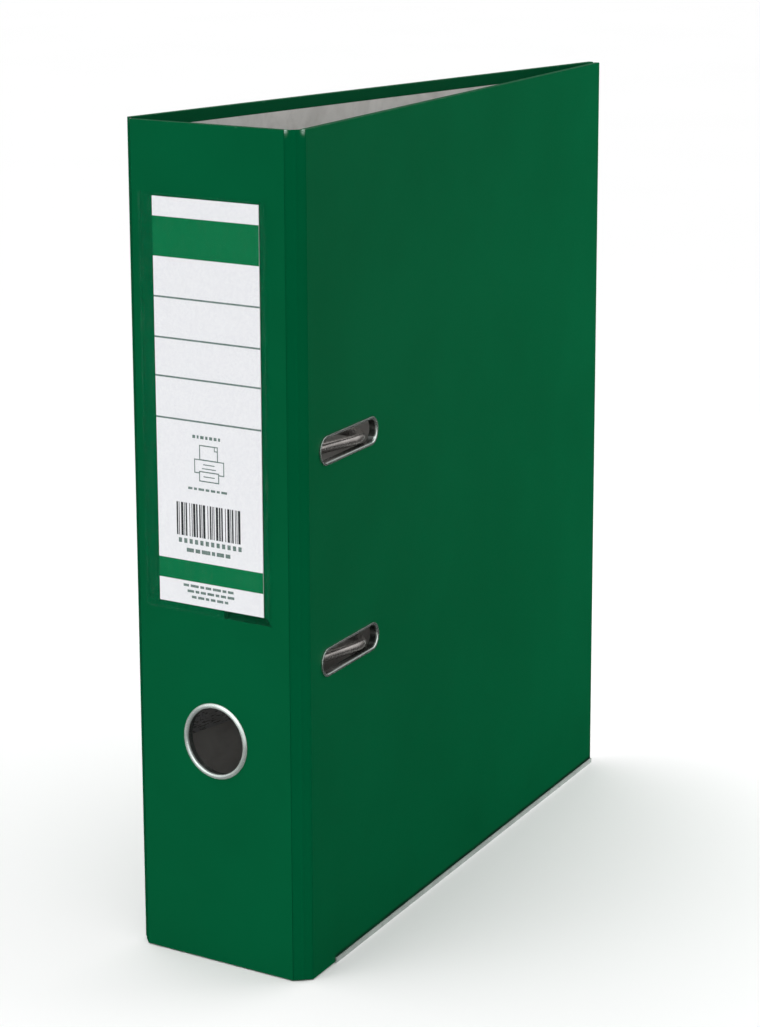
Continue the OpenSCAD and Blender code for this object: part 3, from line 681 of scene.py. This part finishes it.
scene = bpy.context.scene
floor_mesh = bpy.data.meshes.new("floor")
floor_corners = [(x * FLOOR_REACH, y * FLOOR_REACH, 0) for x, y in ((-1, -1), (1, -1), (1, 1), (-1, 1))]
floor_mesh.from_pydata(floor_corners, [], [(0, 1, 2, 3)])
floor = bpy.data.objects.new("floor", floor_mesh)
scene.collection.objects.link(floor)
ground = Look("floor_paper", Roughness=0.9)
ground.set("Specular IOR Level", 0.1)
ground.set("Base Color", ground.mix(ground.noise(3.0, 2.0), FLOOR_DARK, FLOOR_PALE))
floor.data.materials.append(ground.mat)
floor.visible_glossy = False

world = bpy.data.worlds.new("studio")
world.use_nodes = True
scene.world = world
nodes, links = world.node_tree.nodes, world.node_tree.links
background = nodes["Background"]
background.inputs["Color"].default_value = (1.0, 1.0, 1.0, 1.0)
ray = nodes.new("ShaderNodeLightPath")
toward = nodes.new("ShaderNodeTexCoord")


def sky_ramp(direction, low, high, dim, bright, kind="LINEAR"):
    """Strength of the sky, rising from dim to bright along a direction."""
    lean_to = nodes.new("ShaderNodeVectorMath")
    lean_to.operation = "DOT_PRODUCT"
    lean_to.inputs[1].default_value = direction
    links.new(toward.outputs["Generated"], lean_to.inputs[0])
    made = nodes.new("ShaderNodeMapRange")
    made.interpolation_type = kind
    for key, value in (("From Min", low), ("From Max", high), ("To Min", dim), ("To Max", bright)):
        made.inputs[key].default_value = value
    links.new(lean_to.outputs["Value"], made.inputs["Value"])
    return made.outputs[0]


def sky_mix(ray_kind, others, chosen):
    """One strength for rays of a kind and another for the others."""
    made = nodes.new("ShaderNodeMix")
    links.new(ray.outputs[ray_kind], made.inputs[0])
    links.new(others, made.inputs[2])
    if isinstance(chosen, bpy.types.NodeSocket):
        links.new(chosen, made.inputs[3])
    else:
        made.inputs[3].default_value = chosen
    return made.outputs[0]


sky_light = sky_ramp(SKY_LEAN, -1.0, 1.0, SKY_DIM, SKY_BRIGHT)
sky_shine = sky_ramp(SHINE_LEAN, SHINE_FROM, SHINE_TO, 0.0, SHINE_BRIGHT, "SMOOTHSTEP")
sky_seen = sky_mix("Is Glossy Ray", sky_light, sky_shine)
links.new(sky_mix("Is Camera Ray", sky_seen, 1.0), background.inputs["Strength"])


def lamp(name, kind, place, target, energy, **settings):
    """A light at a place, turned to its target."""
    data = bpy.data.lights.new(name, kind)
    data.energy = energy
    for key, value in settings.items():
        setattr(data, key, value)
    made = bpy.data.objects.new(name, data)
    made.location = place
    scene.collection.objects.link(made)
    made.rotation_euler = (Vector(target) - made.location).to_track_quat("-Z", "Y").to_euler()
    return made


lamp("sky", "SUN", (0.10, -0.95, 1.20), (0, 0, 0), 0.77, angle=math.radians(70))
PANELS = (      # name, place, target, watts, width and height; none is itself seen or mirrored
    ("side", (0.38, 0.52, 0.17), (0.0, 0.13, 0.14), 3.4, 0.6, 0.8),
    ("low", (-0.25, -0.80, 0.03), (0.0, -0.14, 0.05), 1.1, 0.5, 0.1),
    ("low_side", (0.65, 0.35, 0.04), (0.0, 0.12, 0.06), 0.9, 0.6, 0.1),
)
for panel_name, panel_place, panel_target, watts, wide, tall in PANELS:
    panel = lamp(panel_name, "AREA", panel_place, panel_target, watts,
                 shape="RECTANGLE", size=wide, size_y=tall)
    panel.visible_glossy = False
    panel.visible_camera = False

CAMERA_AZ, CAMERA_EL, CAMERA_ROLL = math.radians(34.222), math.radians(13.592), math.radians(-0.210)
CAMERA_PLACE = Vector((0.65498, -0.99775, 0.43527))
camera_data = bpy.data.cameras.new("camera")
camera_data.sensor_width = 36.0
camera_data.lens = 105.5
camera_data.clip_end = 60.0
camera = bpy.data.objects.new("camera", camera_data)
scene.collection.objects.link(camera)
back = Vector((math.sin(CAMERA_AZ) * math.cos(CAMERA_EL), -math.cos(CAMERA_AZ) * math.cos(CAMERA_EL),
               math.sin(CAMERA_EL)))
right = Vector((math.cos(CAMERA_AZ), math.sin(CAMERA_AZ), 0))
up = back.cross(right)
turned_right = right * math.cos(CAMERA_ROLL) + up * math.sin(CAMERA_ROLL)
turned_up = up * math.cos(CAMERA_ROLL) - right * math.sin(CAMERA_ROLL)
camera.matrix_world = Matrix((
    (turned_right.x, turned_up.x, back.x, CAMERA_PLACE.x),
    (turned_right.y, turned_up.y, back.y, CAMERA_PLACE.y),
    (turned_right.z, turned_up.z, back.z, CAMERA_PLACE.z),
    (0.0, 0.0, 0.0, 1.0)))
scene.camera = camera
scene.view_settings.view_transform = "Standard"
scene.view_settings.look = "None"
scene.view_settings.exposure = 0.0
scene.view_settings.gamma = 1.0
